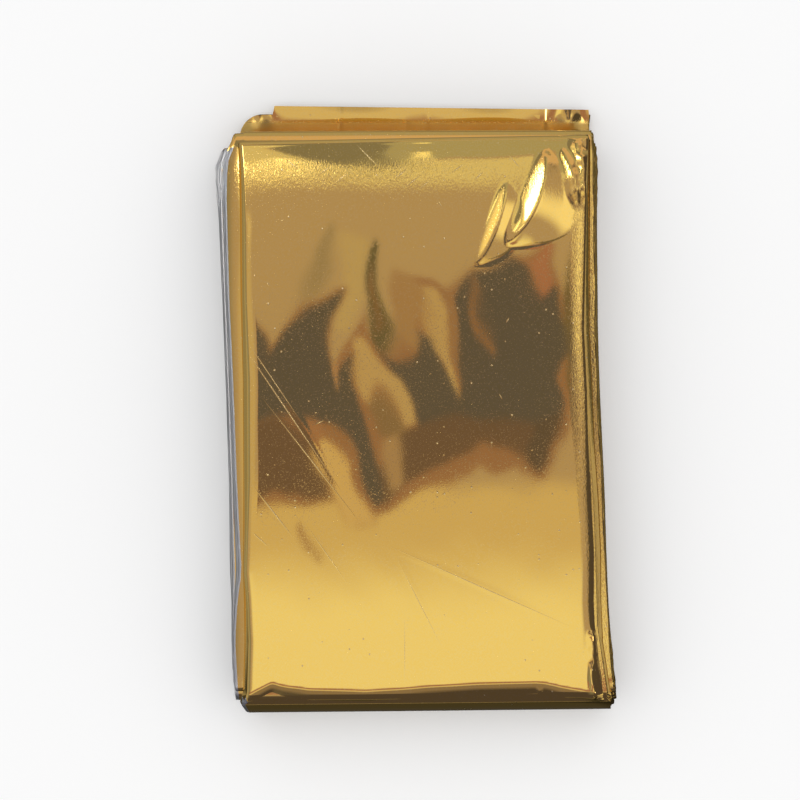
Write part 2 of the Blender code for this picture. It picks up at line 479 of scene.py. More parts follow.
def strip_points(rows, columns, inset_of):
    """The points of a stretch of the strip, row by row, and the middle surface that they follow."""
    share = np.array([column.share for column in columns])
    offset = np.array([column.offset for column in columns])
    push = np.array([column.push for column in columns])
    ends = np.stack([row.place(np.array([FOLD_LEFT, FOLD_RIGHT])) for row in rows])
    end_normals = outward_normals(ends)
    limits = []
    for index, side in enumerate((LEFT_SIDE, RIGHT_SIDE)):
        place = ends[:, index, None, :] + end_normals[:, index, None, :] * offset[None, :, None]
        depth = depth_below_front(place[..., 0], place[..., 1], place[..., 2])
        x = side_at_depth(side, place[..., 1], depth)
        flap_x = (FLAP_LEFT, FLAP_RIGHT)[index]
        on_flap = np.array([flap_share(row.layer, y) for row, y in zip(rows, ends[:, index, 1])])
        limits.append(mixed(x, flap_x, on_flap[:, None]))
    left, right = limits
    for index, column in enumerate(columns):
        if column.share in (0.0, 1.0):
            wander = side_jitter(rows, column, ends[:, round(column.share), 1])
            left[:, index] -= wander
            right[:, index] += wander
    inset_left, inset_right = inset_of(rows, columns)
    x = mixed(left + inset_left - push, right - inset_right + push, share)
    middle = np.stack([row.place(x[index]) for index, row in enumerate(rows)])
    return middle + outward_normals(middle) * offset[None, :, None], middle


def crease_height(crease, x, y):
    """The height of one crease at each place."""
    run = np.array([crease.x_end - crease.x_start, crease.y_end - crease.y_start])
    length = np.hypot(*run)
    run /= length
    from_start = (x - crease.x_start, y - crease.y_start)
    along = (from_start[0] * run[0] + from_start[1] * run[1]) / length
    taper = np.clip(4 * along * (1 - along), 0, 1)
    side = from_start[1] * run[0] - from_start[0] * run[1] - crease.bow * taper
    size = taper**CREASE_TAPER
    width = np.where(side > 0, crease.left, crease.right) * np.maximum(size, 0.05)
    away = np.clip(np.abs(side) / width, 0, 1)
    soft = (1 - away**2) ** 2
    facets = (1 - away) ** FACET_POWER
    return crease.height * size * mixed(soft, facets, crease.crisp)


def front_waves(x, y):
    """Shallow waves in all directions, mostly along the pack."""
    random = np.random.default_rng(SEED)
    height = np.zeros_like(x)
    for _ in range(WAVE_COUNT):
        length = mixed(WAVE_SHORTEST, WAVE_LONGEST, random.uniform() ** 1.5)
        heading = random.normal(0, 0.7)
        turn = random.uniform(0, 2 * math.pi)
        along = x * math.cos(heading) + y * math.sin(heading)
        amplitude = WAVE_SLOPE * length / (2 * math.pi)
        height += amplitude * np.sin(2 * math.pi * along / length + turn)
    return height


def front_relief(x, y):
    """How far the creases and swells lift the front panel's film at each place."""
    relief = front_waves(x, y)
    for swell in FRONT_SWELLS:
        away = ((x - swell.x) / swell.reach_x) ** 2 + ((y - swell.y) / swell.reach_y) ** 2
        relief += swell.height * np.exp(-2 * away)
    for crease in FRONT_CREASES:
        relief += crease_height(crease, x, y)
    return relief


def corner_crumple(x, y):
    """Small sharp folds at the crumpled corners."""
    open_right = smooth((x - 31.5) / 3) * smooth((y - 41) / 5)
    foot_right = smooth((x - 36.0) / 2) * smooth((-45 - y) / 4)
    random = np.random.default_rng(SEED + 2)
    height = np.zeros_like(x)
    for _ in range(CRUMPLE_COUNT):
        length = random.uniform(CRUMPLE_SHORTEST, CRUMPLE_LONGEST)
        heading = random.normal(0, 0.6)
        along = x * math.cos(heading) + y * math.sin(heading)
        height += length * np.abs(np.sin(math.pi * along / length + random.uniform(0, math.pi)))
    return CRUMPLE_SLOPE * height * np.maximum(open_right, foot_right)


def foot_drop(x, unrolled):
    """How far the film has fallen below the foot line."""
    line = np.interp(x, [point.x for point in FOOT_LINE], [point.y for point in FOOT_LINE])
    below = np.clip(line - unrolled, 0, FOOT_REACH)
    return FOOT_SLOPE * below + FOOT_CURVE / 2 * below**2


def sheet_object(name, shape, materials, slot_of=None):
    """An object whose mesh is a grid through the points. slot_of gives each cell's material."""
    along, across = shape.shape[:2]
    index = np.arange(along * across).reshape(along, across)
    cells = np.stack([index[:-1, :-1], index[:-1, 1:], index[1:, 1:], index[1:, :-1]], axis=-1)
    mesh = bpy.data.meshes.new(name)
    mesh.from_pydata((shape.reshape(-1, 3) * MM).tolist(), [], cells.reshape(-1, 4).tolist())
    mesh.shade_smooth()
    for material in materials:
        mesh.materials.append(material)
    if slot_of is not None:
        mesh.polygons.foreach_set("material_index", slot_of.astype(np.int32).ravel())
    obj = bpy.data.objects.new(name, mesh)
    bpy.context.scene.collection.objects.link(obj)
    return obj


def cover_sheet(materials, shift):
    """The strip's outermost ply, from the flap to behind the front panel."""
    length = INNER_FOLDS[0].y_left - FOOT.y_left
    stops = tuple(np.linspace(0, 1, round(length / FRONT_STEP) + 1))
    rows = outer_rows(bundle_end, COVER_WRAP_STEPS, stops)
    nominal = np.stack([row.place(np.array([FOLD_LEFT, 0.0, FOLD_RIGHT])) for row in rows])
    out = np.cumsum(np.linalg.norm(np.diff(nominal[:, 1], axis=0), axis=-1))
    out = np.concatenate([[0.0], out])
    layer = np.array([row.layer for row in rows])
    first_on_front = int(np.argmax(layer <= 1))
    # In the wrap, the creases are placed by the way round from the front panel's foot
    past_foot = np.maximum(out[first_on_front] - out, 0)[:, None]
    past_foot[layer == LAYERS] = NEVER_REACHED
    panel = np.linspace(0, 1, round(PLY_WIDTH / FRONT_STEP))
    x_rows, drops = [], []
    for index, row in enumerate(rows):
        y = nominal[index, :, 1]
        sides = (LEFT_SIDE, y[0]), (RIGHT_SIDE, y[2])
        crease = [side_line(side, "crease", at) for side, at in sides]
        rim = [side_line(side, "rim", at) for side, at in sides]
        if row.layer == LAYERS:
            # On the back, the ply lies flat and a little inside the loops
            on_flap = flap_share(LAYERS, y[1])
            loops = [side_line(side, "loops", at) for side, at in sides]
            rim = [mixed(loops[0] + BACK_INSET, FLAP_LEFT + FLAP_EDGE_INSET, on_flap),
                   mixed(loops[1] - BACK_INSET, FLAP_RIGHT - FLAP_EDGE_INSET, on_flap)]
            crease = [rim[0] + BACK_SHOULDER, rim[1] - BACK_SHOULDER]
        left = [mixed(rim[0], crease[0], stop) for stop in SHOULDER_STOPS]
        right = [mixed(rim[1], crease[1], stop) for stop in reversed(SHOULDER_STOPS)]
        x_rows.append(np.concatenate([[rim[0] + RIM_TUCK], left, mixed(crease[0], crease[1], panel),
                                      right, [rim[1] - RIM_TUCK]]))
    x = np.stack(x_rows)
    fall = [RIM_DROP * (1 - stop) ** RIM_POWER for stop in SHOULDER_STOPS]
    drops = np.concatenate([[RIM_DROP + 2 * RIM_TUCK], fall, np.zeros(len(panel)), fall[::-1],
                            [RIM_DROP + 2 * RIM_TUCK]])
    middle = np.stack([row.place(x[index]) for index, row in enumerate(rows)])
    # The film rolls down a little towards its creases
    count = len(SHOULDER_STOPS) + 1
    left_crease, right_crease = x[:, count:count + 1], x[:, -count - 1:-count]
    near = np.minimum(x - left_crease, right_crease - x)
    roll = EDGE_ROLL_DROP * (1 - np.clip(near / EDGE_ROLL, 0, 1)) ** 2
    roll *= 1 - smooth((middle[..., 1] - UNROLLED_FROM) / 6) * (x < 0)
    facing = smooth((LAYERS - layer) / 2)[:, None]
    down_strip = np.where(past_foot > 0, fold_y(FOOT, x) - past_foot, middle[..., 1])
    relief = front_relief(x, down_strip) + corner_crumple(x, down_strip)
    relief *= (smooth(2.2 - layer) + (layer > 1) * facing[:, 0] * 0.7)[:, None].clip(0, 1)
    relief -= foot_drop(x, down_strip) * facing
    relief *= np.clip(1 - drops / RIM_DROP, 0, 1)
    height = LAYER_THICKNESS / 2 + relief - (drops[None, :] + roll) * facing
    shape = middle + outward_normals(middle) * height[..., None]
    return sheet_object("cover_sheet", shape + shift, materials)


def covered_inset(rows, columns):
    """The plies under the cover stay inside it, and reach the edges only at the back and the flap."""
    layer = np.array([row.layer for row in rows])[:, None]
    inset = HIDDEN_INSET * smooth((LAYERS - layer) / 2)
    return inset, inset


def inner_inset(rows, columns):
    """The first and last plies end short of the silver loops, but for the ledge that shows."""
    layer = np.array([round(row.layer) for row in rows])[:, None]
    outer = np.array([column.ply in (1, PLIES) for column in columns])[None, :]
    left = GOLD_INSET * (outer & (layer > 2))
    return left, np.zeros_like(left)


def silver_loops(rows, columns, beyond):
    """1 for each cell on the silver loops of the left side, and 0 elsewhere."""
    share = np.array([column.share for column in columns])
    left = (share[:-1] < 0.01) & (share[1:] < 0.01)
    reach = np.array([row.place(np.array([0.0]))[0, 1] for row in rows])
    return left[None, :] & (np.maximum(reach[:-1], reach[1:])[:, None] < beyond)


def wrap_plies(materials, shift):
    """The covered plies of the strip from the flap to behind the front panel."""
    rows = outer_rows(bundle_end, WRAP_STEPS, ALONG_HIDDEN)
    columns = ply_columns(2, PLIES - 1, COARSE_STOPS)
    shape, _ = strip_points(rows, columns, covered_inset)
    silver = silver_loops(rows, columns, FLAP_ROOT)
    return sheet_object("wrap_plies", shape + shift, materials, silver)


def flap_sheet(materials, shift):
    """The strip's last ply, whose end is the flap that shows at the open end."""
    rows = outer_rows(film_end, WRAP_STEPS, ALONG_HIDDEN)
    columns = ply_columns(PLIES, PLIES, tuple(np.linspace(0.0, 1.0, FLAP_COLUMNS)))
    shape, _ = strip_points(rows, columns, covered_inset)
    x, y = shape[..., 0], shape[..., 1]
    layer = np.array([row.layer for row in rows])
    on_flap = smooth((y - FLAP_ROOT) / 3) * (layer == LAYERS)[:, None]
    relief = np.zeros_like(x)
    for crease in FLAP_CREASES:
        line = crease.x + crease.lean * (y - FLAP_ROOT)
        away = np.clip(np.abs(x - line) / crease.half_width, 0, 1)
        relief += crease.height * (1 - away**2) ** 2
    for swell in FLAP_SWELLS:
        away = ((x - swell.x) / swell.reach_x) ** 2 + ((y - swell.y) / swell.reach_y) ** 2
        relief += swell.height * np.exp(-2 * away)
    shape[..., 2] += on_flap * relief
    return sheet_object("flap_sheet", shape + shift, materials)


def inner_layers(materials, shift):
    """All the plies of the strip's ten inner layers."""
    rows = inner_rows()
    columns = ply_columns(1, PLIES, COARSE_STOPS)
    shape, _ = strip_points(rows, columns, inner_inset)
    # The ledge, the second layer's left edge, leans outwards
    second = np.array([row.layer == 2 for row in rows])[:, None]
    beyond_rim = np.clip(side_line(LEFT_SIDE, "rim", shape[..., 1]) - shape[..., 0], 0, None)
    shape[..., 2] -= LEDGE_TILT * beyond_rim * second
    silver = silver_loops(rows, columns, FLAP_ROOT)
    return sheet_object("inner_layers", shape + shift, materials, silver)


# Materials


def add_node(tree, kind, **inputs):
    """A new node, with values or links for its named inputs."""
    node = tree.nodes.new(kind)
    for name, value in inputs.items():
        socket = node.inputs[name.replace("_", " ")]
        if isinstance(value, bpy.types.NodeSocket):
            tree.links.new(value, socket)
        else:
            socket.default_value = value
    return node


def step_up(tree, value, low, high):
    """0 below low and 1 above high, smoothly."""
    step = add_node(tree, "ShaderNodeMapRange", Value=value, From_Min=low, From_Max=high)
    step.interpolation_type = "SMOOTHSTEP"
    return step.outputs["Result"]


def combined(tree, operation, first, second):
    """The result of a sum on two values, each a number or a socket."""
    node = tree.nodes.new("ShaderNodeMath")
    node.operation = operation
    for socket, value in zip(node.inputs, (first, second)):
        if isinstance(value, bpy.types.NodeSocket):
            tree.links.new(value, socket)
        else:
            socket.default_value = value
    return node.outputs[0]


# Fine scratches of the film, each a thin line by its middle, half its length and width, and turn
Scratch = namedtuple("Scratch", "name x y reach half_width turn")
SCRATCHES = (
    Scratch("left diagonal", -27.3, -0.8, 20.5, 0.16, -56),
    Scratch("beside the left diagonal", -30.5, 6.0, 12.0, 0.10, -56),
    Scratch("second diagonal", -22.8, -10.5, 17.5, 0.13, -52),
    Scratch("bright double", -30.2, -22.2, 7.6, 0.17, -52),
    Scratch("below the double", -33.2, -27.7, 2.6, 0.12, -42),
    Scratch("fine diagonal", -19.0, -31.0, 8.0, 0.09, -55),
    Scratch("long diagonal", 14.0, -38.0, 23.5, 0.11, -24),
    Scratch("steep crease", 0.6, -41.5, 12.6, 0.10, -63),
    Scratch("foot crease", -2.7, -51.0, 9.0, 0.10, 90),
    Scratch("top scratch", -10.6, 53.3, 3.9, 0.16, -45),
    Scratch("top stroke 1", -19.5, 50.2, 1.6, 0.12, 35),
    Scratch("top stroke 2", -16.0, 48.6, 2.0, 0.11, 40),
    Scratch("top stroke 3", -3.5, 49.4, 1.8, 0.12, 42),
    Scratch("top stroke 4", -0.8, 48.0, 2.4, 0.11, 38),
    Scratch("top stroke 5", 1.6, 47.2, 1.7, 0.11, 41),
    Scratch("top stroke 6", 8.5, 50.6, 1.9, 0.12, 36),
    Scratch("top stroke 7", 13.0, 49.0, 1.6, 0.11, 44),
    Scratch("top stroke 8", -26.5, 51.5, 1.8, 0.12, -38),
    Scratch("top stroke 9", 20.5, 52.0, 2.2, 0.12, -50),
    Scratch("short stroke left", -20.6, -3.0, 1.2, 0.14, 25),
    Scratch("short stroke right", 19.0, 18.5, 0.8, 0.16, 60),
    Scratch("short stroke low", 17.5, 2.5, 0.9, 0.15, -60),
    Scratch("short stroke high", 4.8, 43.0, 0.9, 0.12, -55),
)


def scratch_cover(tree, place):
    """1 along the middles of the scratches, fading to 0 at their edges."""
    cover = None
    for scratch in SCRATCHES:
        frame = tree.nodes.new("ShaderNodeMapping")
        frame.vector_type = "TEXTURE"
        frame.inputs["Location"].default_value = (scratch.x * MM, scratch.y * MM, 0)
        frame.inputs["Rotation"].default_value = (0, 0, math.radians(scratch.turn))
        frame.inputs["Scale"].default_value = (scratch.reach * MM, scratch.half_width * MM, 1)
        tree.links.new(place, frame.inputs["Vector"])
        away = tree.nodes.new("ShaderNodeVectorMath")
        away.operation = "LENGTH"
        tree.links.new(frame.outputs[0], away.inputs[0])
        share = combined(tree, "SUBTRACT", 1.0, away.outputs["Value"])
        cover = share if cover is None else combined(tree, "MAXIMUM", cover, share)
    return combined(tree, "MAXIMUM", cover, 0.0)


def crinkle_cover(tree, place):
    """1 where the film is finely crinkled: below the open end, and along the right crease."""
    split = add_node(tree, "ShaderNodeSeparateXYZ", Vector=place)
    x, y = split.outputs["X"], split.outputs["Y"]
    below_end = combined(tree, "SUBTRACT", 1.0, step_up(tree, y, 0.0500, 0.0535))
    top = combined(tree, "MULTIPLY", step_up(tree, y, 0.0425, 0.0485), below_end)
    # The crinkled strip drifts to the right on its way to the closed end
    drift = combined(tree, "MULTIPLY", combined(tree, "MINIMUM", y, 0.0), 0.09)
    from_line = combined(tree, "ADD", x, drift)
    right = combined(tree, "MULTIPLY", step_up(tree, from_line, 0.0318, 0.0335), below_end)
    top, right = combined(tree, "MULTIPLY", top, 0.28), combined(tree, "MULTIPLY", right, 0.45)
    return combined(tree, "MAXIMUM", top, right)


def flap_root_cover(tree, place):
    """1 on the part of the flap that lies close to the pack's end, where the film is dull."""
    split = add_node(tree, "ShaderNodeSeparateXYZ", Vector=place)
    y, z = split.outputs["Y"], split.outputs["Z"]
    near = combined(tree, "SUBTRACT", step_up(tree, y, 0.0570, 0.0580), step_up(tree, y, 0.0606, 0.0624))
    return combined(tree, "MULTIPLY", near, combined(tree, "LESS_THAN", z, 0.005))


def film_material(name, colour, roughness):
    """Metallised film: a mirror with a fine grain, thin scratches, small specks and crinkles."""
    material = bpy.data.materials.new(name)
    material.use_nodes = True
    tree = material.node_tree
    shader = tree.nodes["Principled BSDF"]
    shader.inputs["Metallic"].default_value = 1.0
    place = tree.nodes.new("ShaderNodeTexCoord").outputs["Object"]
    grain = add_node(tree, "ShaderNodeTexNoise", Vector=place, Scale=3600.0, Detail=3.0).outputs["Fac"]
    slant = tree.nodes.new("ShaderNodeMapping")
    slant.inputs["Rotation"].default_value = (0, 0, math.radians(-40))
    slant.inputs["Scale"].default_value = (1.0, 0.4, 1.0)
    tree.links.new(place, slant.inputs["Vector"])
    crumple = add_node(tree, "ShaderNodeTexNoise", Vector=slant.outputs[0], Scale=3000.0, Detail=2.0,
                       Distortion=1.0)
    specks = add_node(tree, "ShaderNodeTexVoronoi", Vector=place, Scale=700.0)
    near = combined(tree, "SUBTRACT", 1.0, step_up(tree, specks.outputs["Distance"], 0.06, 0.18))
    pick = add_node(tree, "ShaderNodeSeparateColor", Color=specks.outputs["Color"]).outputs["Red"]
    speck = combined(tree, "MULTIPLY", near, step_up(tree, pick, 0.84, 0.92))
    scratch = scratch_cover(tree, place)
    mark = combined(tree, "MAXIMUM", speck, scratch)
    rough_spots = combined(tree, "MULTIPLY", step_up(tree, grain, 0.53, 0.75), 0.12)
    marked = combined(tree, "MULTIPLY", mark, 0.30)
    spread = combined(tree, "MAXIMUM", rough_spots, marked)
    dull = combined(tree, "MULTIPLY", flap_root_cover(tree, place), 0.36)
    spread = combined(tree, "ADD", spread, dull)
    tree.links.new(combined(tree, "ADD", spread, roughness), shader.inputs["Roughness"])
    paler = add_node(tree, "ShaderNodeMix")
    paler.data_type = "RGBA"
    mottle = combined(tree, "MULTIPLY", step_up(tree, grain, 0.4, 0.7), 0.13)
    tree.links.new(combined(tree, "MAXIMUM", combined(tree, "MULTIPLY", mark, 0.5), mottle),
                   paler.inputs["Factor"])
    paler.inputs[6].default_value = (*colour, 1)
    paler.inputs[7].default_value = (1.0, 0.92, 0.66, 1)
    tree.links.new(paler.outputs[2], shader.inputs["Base Color"])
    level_crumple = combined(tree, "SUBTRACT", crumple.outputs["Fac"], 0.5)
    crinkles = combined(tree, "MULTIPLY", level_crumple, crinkle_cover(tree, place))
    height = combined(tree, "ADD", combined(tree, "MULTIPLY", grain, 0.015), crinkles)
    height = combined(tree, "ADD", height, combined(tree, "MULTIPLY", mark, 0.10))
    bump = add_node(tree, "ShaderNodeBump", Strength=1.0, Distance=0.00004, Height=height)
    tree.links.new(bump.outputs["Normal"], shader.inputs["Normal"])
    return material


GOLD = (1.0, 0.66, 0.17)
SILVER = (0.82, 0.84, 0.84)

# The studio is a painted ceiling far above, which only the film reflects. A place on it is given by
# how far its direction leans from straight up, as sideways over upwards. Cards are ellipses.
Card = namedtuple("Card", "name x y reach_x reach_y soft red green blue")
CARDS = (
    Card("far right side", 17.0, 0.0, 14.8, 28.0, 0.02, 0.42, 0.40, 0.40),
    Card("far left side", -16.5, 0.0, 15.2, 28.0, 0.02, 0.42, 0.40, 0.40),
    Card("tall side to the left", -1.2, 0.0, 0.8, 1.6, 0.6, 0.33, 0.36, 0.42),
    Card("far window to the right", 2.4, -2.2, 0.5, 1.1, 0.3, 1.1, 1.1, 1.0),
    Card("far window to the left", -1.9, -1.3, 0.3, 0.8, 0.3, 0.9, 0.9, 0.8),
    Card("far window to the open end", 1.2, 2.6, 0.9, 0.7, 0.3, 1.0, 1.0, 0.9),
    Card("low side to the open end", 0.0, 15.2, 14.0, 14.75, 0.01, 0.40, 0.40, 0.42),
    Card("surroundings", 0.0, 0.05, 0.42, 0.45, 0.2, 0.43, 0.38, 0.42),
    Card("light brown to the closed end", 0.0, -0.51, 0.60, 0.10, 0.4, 0.25, 0.22, 0.26),
    Card("flap's yellow", 0.0, -0.36, 0.60, 0.05, 0.1, 0.64, 0.60, 0.56),
    Card("flap's brown", 0.0, -0.255, 0.60, 0.058, 0.08, 0.35, 0.22, 0.26),
    Card("second layer's light", 0.0, 0.41, 0.60, 0.085, 0.15, 0.63, 0.51, 0.49),
    Card("lamp to the right", 0.42, -0.30, 0.09, 0.12, 0.4, 5.0, 5.0, 5.0),
    Card("lit wall to the left", -0.24, 0.01, 0.085, 0.085, 0.3, 0.52, 0.47, 0.44),
    Card("dark to the right", 0.56, -0.08, 0.28, 0.22, 0.1, 0.08, 0.075, 0.10),
    Card("glow to the right", 0.20, 0.09, 0.055, 0.07, 0.4, 0.95, 0.95, 0.85),
    Card("lamp's halo", -0.21, 0.235, 0.085, 0.11, 0.5, 1.2, 1.15, 0.9),
    Card("lamp to the left", -0.22, 0.25, 0.055, 0.078, 0.3, 9.0, 9.0, 9.0),
)
HORIZON = (0.075, 0.068, 0.10)

# The rest of the ceiling is given by where it shows on the front panel in the photo: outlines in
# the photo's pixels, each with a soft edge and a warm fringe, in pixels, and its light
Patch = namedtuple("Patch", "name soft fringe light outline")
FRINGE = (0.34, 0.22, 0.22)
DARK = (0.11, 0.115, 0.20)
BROWN = (0.15, 0.12, 0.165)
PATCHES = (
    Patch("warm foot", 14, 0, (0.60, 0.54, 0.46),
          ((100, 485), (600, 485), (612, 740), (100, 740))),
    Patch("bright foot", 45, 0, (0.84, 0.86, 0.76),
          ((100, 575), (620, 575), (620, 780), (100, 780))),
    Patch("bright strip", 4, 0, (0.66, 0.66, 0.60),
          ((235, 147), (262, 150), (350, 172), (400, 172), (460, 161), (545, 158), (600, 153),
           (600, 180), (540, 186), (400, 186), (300, 184), (235, 178))),
    Patch("paler to the open end", 3, 0, (0.40, 0.42, 0.44),
          ((345, 165), (400, 170), (430, 163), (460, 159), (545, 156), (575, 150), (600, 146),
           (600, 134), (340, 134))),
    Patch("dim to the open end", 3, 0, (0.23, 0.24, 0.29),
          ((262, 147), (290, 157), (315, 166), (335, 172), (372, 174), (388, 168), (380, 155),
           (392, 146), (400, 134), (240, 134), (240, 143))),
    Patch("first white", 2.5, 0, (2.6, 2.6, 2.3), ((276, 160), (286, 162), (287, 180), (279, 179))),
    Patch("second white", 2.5, 0, (2.0, 2.0, 1.8), ((293, 163), (301, 166), (302, 184), (296, 184))),
    Patch("third white", 3, 0, (1.1, 1.1, 0.9), ((418, 154), (428, 154), (431, 180), (422, 182))),
    Patch("shadow", 5, 0, (0.30, 0.28, 0.32),
          ((332, 225), (335, 232), (331, 255), (322, 280), (310, 298), (305, 300), (312, 275), (321, 250))),
    Patch("paler beside the shadow", 6, 0, (0.47, 0.43, 0.42),
          ((338, 235), (365, 235), (362, 300), (345, 330), (332, 330), (340, 280))),
    Patch("brown mass", 3, 0, (0.30, 0.20, 0.22),
          ((245, 322), (262, 325), (271, 350), (280, 340), (306, 303), (328, 287), (343, 285),
           (340, 300), (328, 322), (325, 340), (333, 362), (340, 352), (352, 330), (368, 314),
           (374, 330), (385, 345), (398, 352), (398, 330), (396, 290), (400, 272), (430, 275),
           (445, 283), (465, 275), (480, 266), (500, 262), (525, 255), (545, 240), (553, 238),
           (556, 262), (565, 280), (574, 300), (577, 350), (575, 400), (568, 430), (560, 460),
           (550, 482), (540, 480), (520, 465), (500, 472), (480, 462), (455, 480), (425, 497),
           (395, 514), (380, 518), (365, 512), (345, 492), (330, 478), (328, 506), (300, 503),
           (262, 505), (245, 508))),
    Patch("dark left", 1.3, 3, DARK,
          ((250, 318), (265, 334), (272, 353), (280, 344), (290, 330), (309, 306), (318, 299),
           (332, 290), (341, 288), (338, 300), (326, 321), (322, 334), (324, 346), (331, 362),
           (336, 389), (344, 361), (350, 355), (356, 364), (362, 387), (369, 422), (376, 442),
           (387, 479), (388, 500), (381, 508), (372, 500), (360, 470), (350, 440), (335, 425),
           (310, 420), (290, 418), (270, 425), (250, 430))),
    Patch("dark low left", 2.5, 2, BROWN,
          ((250, 425), (285, 418), (300, 425), (308, 446), (314, 468), (322, 488), (326, 503),
           (318, 501), (300, 493), (274, 494), (250, 505))),
    Patch("red-brown on the left", 4, 0, (0.34, 0.22, 0.24),
          ((288, 417), (302, 414), (318, 423), (325, 438), (314, 444), (302, 436))),
    Patch("gold low left", 2, 1.5, (0.58, 0.50, 0.44),
          ((309, 449), (323, 443), (334, 447), (345, 462), (350, 480), (355, 492), (368, 508),
           (380, 524), (345, 524), (330, 505), (325, 490), (316, 473))),
    Patch("dark right", 1.3, 3, DARK,
          ((385, 350), (400, 358), (417, 360), (418, 340), (422, 328), (428, 335), (433, 352),
           (442, 370), (453, 385), (461, 400), (466, 390), (463, 370), (460, 340), (457, 310),
           (455, 290), (462, 281), (477, 269), (490, 265), (513, 260), (525, 264), (531, 284),
           (543, 294), (550, 282), (564, 283), (566, 305), (571, 325), (571, 352), (562, 372),
           (560, 380), (566, 405), (560, 420), (540, 432), (520, 425), (490, 428), (470, 440),
           (440, 450), (425, 440), (424, 425), (418, 402), (408, 385), (395, 370))),
    Patch("brown low right", 3, 0, BROWN,
          ((424, 425), (440, 415), (480, 415), (540, 425), (562, 420), (560, 440), (553, 465),
           (546, 476), (538, 468), (525, 455), (513, 445), (480, 442), (446, 465), (412, 486),
           (388, 508), (384, 480), (395, 440), (405, 430))),
    Patch("dark beside the right crease", 2, 0, (0.17, 0.155, 0.16),
          ((573, 262), (584, 235), (592, 300), (594, 420), (596, 520), (590, 520), (586, 440),
           (574, 400), (570, 330))),
    Patch("dark point", 2, 0, (0.115, 0.105, 0.16),
          ((540, 420), (562, 415), (556, 442), (544, 476), (535, 467), (527, 450))),
    Patch("spindle", 1.2, 0, (0.13, 0.135, 0.16),
          ((374, 234), (379, 244), (378, 262), (382, 285), (388, 305), (394, 325), (397, 350),
           (388, 352), (379, 337), (371, 312), (366, 285), (364, 262), (367, 245))),
    Patch("spindle's middle", 1.8, 0, (0.24, 0.17, 0.18),
          ((371, 258), (375, 275), (380, 300), (386, 320), (389, 335), (384, 332), (377, 310),
           (371, 285))),
    Patch("haze under the slant", 4, 0, (0.23, 0.19, 0.21),
          ((374, 398), (385, 390), (400, 412), (412, 430), (400, 436), (385, 432))),
    Patch("gold slant", 1.3, 1.5, (0.47, 0.41, 0.40),
          ((352, 339), (360, 336), (368, 337), (378, 352), (390, 368), (402, 378), (416, 395),
           (422, 420), (417, 424), (408, 424), (401, 410), (390, 392), (380, 380), (377, 400),
           (368, 395), (362, 375), (355, 355))),
    Patch("gold low", 3, 0, (0.37, 0.30, 0.33),
          ((389, 436), (400, 432), (407, 450), (408, 488), (398, 494), (391, 488), (388, 460))),
    Patch("orange left of the gap", 3, 0, (0.35, 0.27, 0.28),
          ((399, 275), (412, 272), (423, 285), (424, 310), (420, 330), (416, 355), (410, 350),
           (402, 345), (397, 320))),
    Patch("gold gap", 2, 0, (0.47, 0.41, 0.40),
          ((424, 285), (436, 286), (442, 300), (440, 325), (446, 345), (455, 370), (464, 398),
           (456, 392), (445, 372), (433, 350), (427, 325))),
    Patch("orange right of the gap", 2.5, 0, (0.30, 0.215, 0.24),
          ((438, 286), (450, 285), (456, 300), (460, 340), (462, 375), (455, 365), (447, 345),
           (442, 325))),
    Patch("orange in the dark", 1.8, 0, (0.26, 0.18, 0.20),
          ((475, 272), (480, 275), (485, 300), (490, 320), (494, 350), (490, 357), (484, 340),
           (479, 310))),
    Patch("orange corner", 2, 0, (0.37, 0.21, 0.25),
          ((550, 238), (553, 240), (551, 262), (556, 280), (550, 290), (541, 294), (535, 285),
           (530, 268), (527, 262), (535, 255))),
    Patch("orange tip", 1.2, 0, (0.43, 0.31, 0.33),
          ((332, 362), (340, 359), (341, 372), (337, 391), (334, 385), (333, 372))),
    Patch("brown streak", 1.5, 0, (0.30, 0.20, 0.22),
          ((300, 522), (306, 524), (313, 538), (321, 553), (319, 556), (310, 545))),
)
PHOTO_MIDDLE = (417.5, 408.0)
PHOTO_PIXEL = 0.2131

# How the patches' edges wander, in pixels
WANDER_COUNT = 10
WANDER_SHORTEST = 14
WANDER_LONGEST = 50
WANDER_REACH = 0.25
FRINGE_COVER = 0.7
PATCHES_WITHIN = (0.3, 0.5)

# How the ceiling is divided: fine where the front panel reflects it, and coarser further out
CEILING_HEIGHT = 20.0
FINE_STEP = 0.0013
MIDDLE_STEP = 0.003
FINE_ACROSS = (-0.135, 0.14)
FINE_ALONG = (-0.06, 0.13)
MIDDLE_ALONG_TO = 0.34
COARSER_BY = 1.16
FAR_FROM = 1.0
COARSER_FAR = 1.35
CEILING_REACH = 30.0


def reflected(x, y):
    """The lean of the direction that the even front panel reflects to the camera at a place."""
    step = 0.1
    slope_x = (level(1, x + step, y) - level(1, x - step, y)) / (2 * step)
    slope_y = (level(1, x, y + step) - level(1, x, y - step)) / (2 * step)
    normal = np.stack([-slope_x, -slope_y, np.ones_like(slope_x)], axis=-1)
    normal /= np.linalg.norm(normal, axis=-1, keepdims=True)
    above = CAMERA_HEIGHT - level(1, x, y)
    sight = np.stack([x + SHIFT[0] - FRAME_CENTRE[0], y - FRAME_CENTRE[1], -above], axis=-1)
    sight /= np.linalg.norm(sight, axis=-1, keepdims=True)
    out = sight - 2 * np.sum(sight * normal, axis=-1, keepdims=True) * normal
    return out[..., 0] / out[..., 2], out[..., 1] / out[..., 2]


